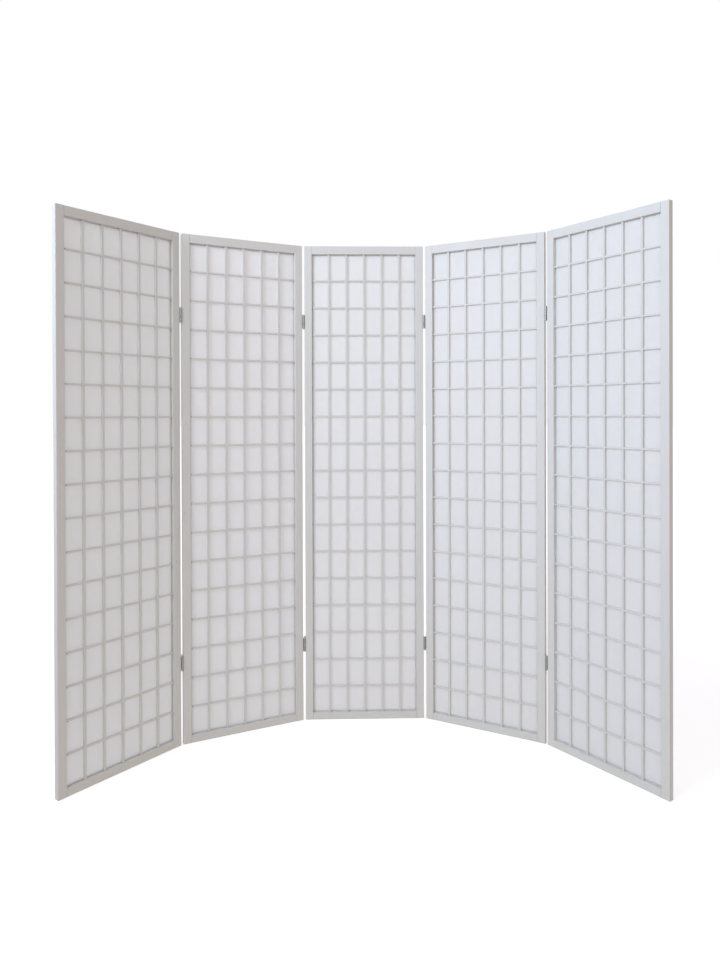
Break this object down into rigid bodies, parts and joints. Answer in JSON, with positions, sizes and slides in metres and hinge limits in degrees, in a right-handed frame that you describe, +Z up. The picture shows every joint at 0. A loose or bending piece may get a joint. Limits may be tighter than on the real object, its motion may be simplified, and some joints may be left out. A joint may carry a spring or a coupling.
{
  "type": "folding screen",
  "caption": "Free-standing folding room divider: hinged wooden panels with a lattice over translucent paper, joined by two-way hinges so it folds flat like an accordion.",
  "frame": {"origin": "on the floor, in the middle of the box that the standing screen fills at rest", "axes": "+Z up; the middle panel lies along X and its front, with the lattice, faces -Y; +X to the right seen from the front"},
  "size_m": [1.845, 0.613, 1.78],
  "materials": {
    "frame_paint": "white paint, satin, over fine straight grain",
    "lattice_paint": "white paint, satin",
    "paper": "matt fibre-reinforced paper, translucent",
    "hinge_steel": "zinc plated, satin"
  },
  "bodies": {
    "panel_1": {"panel_1_left_stile": "frame_paint", "panel_1_right_stile": "frame_paint", "panel_1_top_rail": "frame_paint", "panel_1_bottom_rail": "frame_paint", "panel_1_lattice": "lattice_paint", "panel_1_paper": "paper", "hinge_12_upper_left_leaf": "hinge_steel", "hinge_12_lower_left_leaf": "hinge_steel"},
    "panel_2": {"panel_2_left_stile": "frame_paint", "panel_2_right_stile": "frame_paint", "panel_2_top_rail": "frame_paint", "panel_2_bottom_rail": "frame_paint", "panel_2_lattice": "lattice_paint", "panel_2_paper": "paper", "hinge_12_upper_right_leaf": "hinge_steel", "hinge_12_lower_right_leaf": "hinge_steel", "hinge_23_upper_left_leaf": "hinge_steel", "hinge_23_lower_left_leaf": "hinge_steel"},
    "panel_3": {"panel_3_left_stile": "frame_paint", "panel_3_right_stile": "frame_paint", "panel_3_top_rail": "frame_paint", "panel_3_bottom_rail": "frame_paint", "panel_3_lattice": "lattice_paint", "panel_3_paper": "paper", "hinge_23_upper_right_leaf": "hinge_steel", "hinge_23_lower_right_leaf": "hinge_steel", "hinge_34_upper_left_leaf": "hinge_steel", "hinge_34_lower_left_leaf": "hinge_steel"},
    "panel_4": {"panel_4_left_stile": "frame_paint", "panel_4_right_stile": "frame_paint", "panel_4_top_rail": "frame_paint", "panel_4_bottom_rail": "frame_paint", "panel_4_lattice": "lattice_paint", "panel_4_paper": "paper", "hinge_34_upper_right_leaf": "hinge_steel", "hinge_34_lower_right_leaf": "hinge_steel", "hinge_45_upper_left_leaf": "hinge_steel", "hinge_45_lower_left_leaf": "hinge_steel"},
    "panel_5": {"panel_5_left_stile": "frame_paint", "panel_5_right_stile": "frame_paint", "panel_5_top_rail": "frame_paint", "panel_5_bottom_rail": "frame_paint", "panel_5_lattice": "lattice_paint", "panel_5_paper": "paper", "hinge_45_upper_right_leaf": "hinge_steel", "hinge_45_lower_right_leaf": "hinge_steel"},
    "link_12": {"hinge_12_upper_link": "hinge_steel", "hinge_12_lower_link": "hinge_steel"},
    "link_23": {"hinge_23_upper_link": "hinge_steel", "hinge_23_lower_link": "hinge_steel"},
    "link_34": {"hinge_34_upper_link": "hinge_steel", "hinge_34_lower_link": "hinge_steel"},
    "link_45": {"hinge_45_upper_link": "hinge_steel", "hinge_45_lower_link": "hinge_steel"}
  },
  "joints": [
    {"name": "hinge_12_back", "type": "hinge", "parent": "panel_2", "child": "link_12", "pos_m": [-0.62678, 0.11507, 0], "axis": [0, 0, 1], "range_deg": [-180, 0]},
    {"name": "hinge_12_front", "type": "hinge", "parent": "link_12", "child": "panel_1", "pos_m": [-0.61735, 0.09409, 0], "axis": [0, 0, 1], "range_deg": [-25.8, 154.2]},
    {"name": "hinge_23_back", "type": "hinge", "parent": "panel_3", "child": "link_23", "pos_m": [-0.20361, 0.30303, 0], "axis": [0, 0, -1], "range_deg": [0, 180]},
    {"name": "hinge_23_front", "type": "hinge", "parent": "link_23", "child": "panel_2", "pos_m": [-0.20361, 0.28003, 0], "axis": [0, 0, -1], "range_deg": [-125.8, 24.2]},
    {"name": "hinge_34_front", "type": "hinge", "parent": "panel_3", "child": "link_34", "pos_m": [0.24999, 0.28003, 0], "axis": [0, 0, -1], "range_deg": [-29, 121]},
    {"name": "hinge_34_back", "type": "hinge", "parent": "link_34", "child": "panel_4", "pos_m": [0.26114, 0.30015, 0], "axis": [0, 0, -1], "range_deg": [-180, 0]},
    {"name": "hinge_45_front", "type": "hinge", "parent": "panel_4", "child": "link_45", "pos_m": [0.64671, 0.06012, 0], "axis": [0, 0, 1], "range_deg": [-154.1, 25.9]},
    {"name": "hinge_45_back", "type": "hinge", "parent": "link_45", "child": "panel_5", "pos_m": [0.66553, 0.07335, 0], "axis": [0, 0, 1], "range_deg": [0, 180]}
  ]
}
